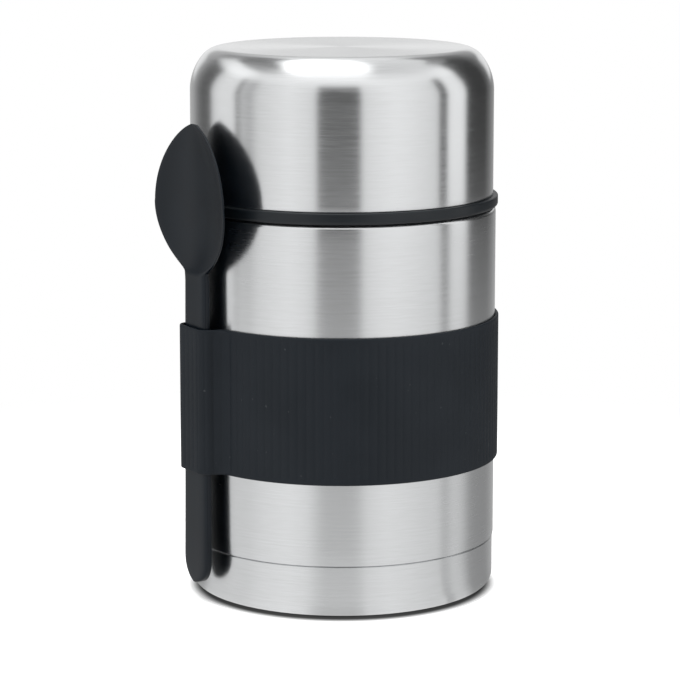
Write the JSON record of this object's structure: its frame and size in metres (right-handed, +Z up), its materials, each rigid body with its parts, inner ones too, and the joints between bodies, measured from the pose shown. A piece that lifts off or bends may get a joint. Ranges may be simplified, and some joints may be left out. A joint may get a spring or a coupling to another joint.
{
  "type": "insulated food jar",
  "caption": "Insulated steel food jar with a domed screw lid, a vented screw stopper, a ribbed silicone sleeve and a spoon in the sleeve's pocket.",
  "frame": {"origin": "centre of the foot ring, on the surface that the jar stands on", "axes": "+Z up along the jar's axis, the spoon and its pocket on the -X side"},
  "size_m": [0.1083, 0.1024, 0.1769],
  "materials": {
    "brushed_shell": "steel brushed round the body",
    "liner_steel": "satin steel",
    "getter_metal": "dull sintered metal",
    "seal_bead": "dull brazed bead",
    "brushed_base": "steel brushed round the cap",
    "sleeve_silicone": "matt silicone with fine upright ribs",
    "clear_silicone": "milky silicone",
    "dark_silicone": "dark silicone",
    "stopper_plastic": "fine matt moulding",
    "foam": "rigid insulating foam",
    "spring_steel": "drawn spring wire",
    "button_plastic": "satin moulding",
    "brushed_lid": "steel brushed round the side, spun on the flat top",
    "rim_plastic": "satin black moulding",
    "spoon_plastic": "satin black moulding"
  },
  "bodies": {
    "jar": {"outer_shell": "brushed_shell", "inner_liner": "liner_steel", "bottom_plate": "liner_steel", "getter": "getter_metal", "vacuum_bead": "seal_bead", "base_cap": "brushed_base", "sleeve": "sleeve_silicone"},
    "stopper_ring": {"stopper_gasket": "clear_silicone"},
    "stopper": {"stopper_cap": "stopper_plastic", "stopper_plug": "stopper_plastic", "stopper_foam": "foam", "vent_spring": "spring_steel"},
    "vent": {"vent_button": "button_plastic", "vent_stem": "button_plastic", "stem_ring": "dark_silicone", "vent_seal": "clear_silicone"},
    "lid_ring": {"lid_seal": "dark_silicone"},
    "lid": {"lid_shell": "brushed_lid", "lid_bowl": "rim_plastic"},
    "spoon": {"spoon": "spoon_plastic"}
  },
  "joints": [
    {"name": "stopper_rise", "type": "slide", "parent": "jar", "child": "stopper_ring", "axis": [0, 0, 1], "range_m": [0, 0.0375]},
    {"name": "stopper_turn", "type": "hinge", "parent": "stopper_ring", "child": "stopper", "pos_m": [0, 0, 0.143], "axis": [0, 0, 1], "range_deg": [0, 900]},
    {"name": "vent_press", "type": "slide", "parent": "stopper", "child": "vent", "axis": [0, 0, -1], "range_m": [0, 0.0022], "stiffness_N_per_m": 300, "springref_m": -0.003, "deforming": ["vent_spring"]},
    {"name": "lid_rise", "type": "slide", "parent": "stopper", "child": "lid_ring", "axis": [0, 0, 1], "range_m": [0, 0.0375]},
    {"name": "lid_turn", "type": "hinge", "parent": "lid_ring", "child": "lid", "pos_m": [0, 0, 0.135], "axis": [0, 0, 1], "range_deg": [0, 900]},
    {"name": "spoon_slide", "type": "slide", "parent": "jar", "child": "spoon", "axis": [0, 0, 1], "range_m": [0, 0.09]}
  ],
  "couplings": [
    {"joint": "stopper_rise", "follows": "stopper_turn", "m_per_rad": 0.0023873},
    {"joint": "lid_rise", "follows": "lid_turn", "m_per_rad": 0.0023873}
  ]
}
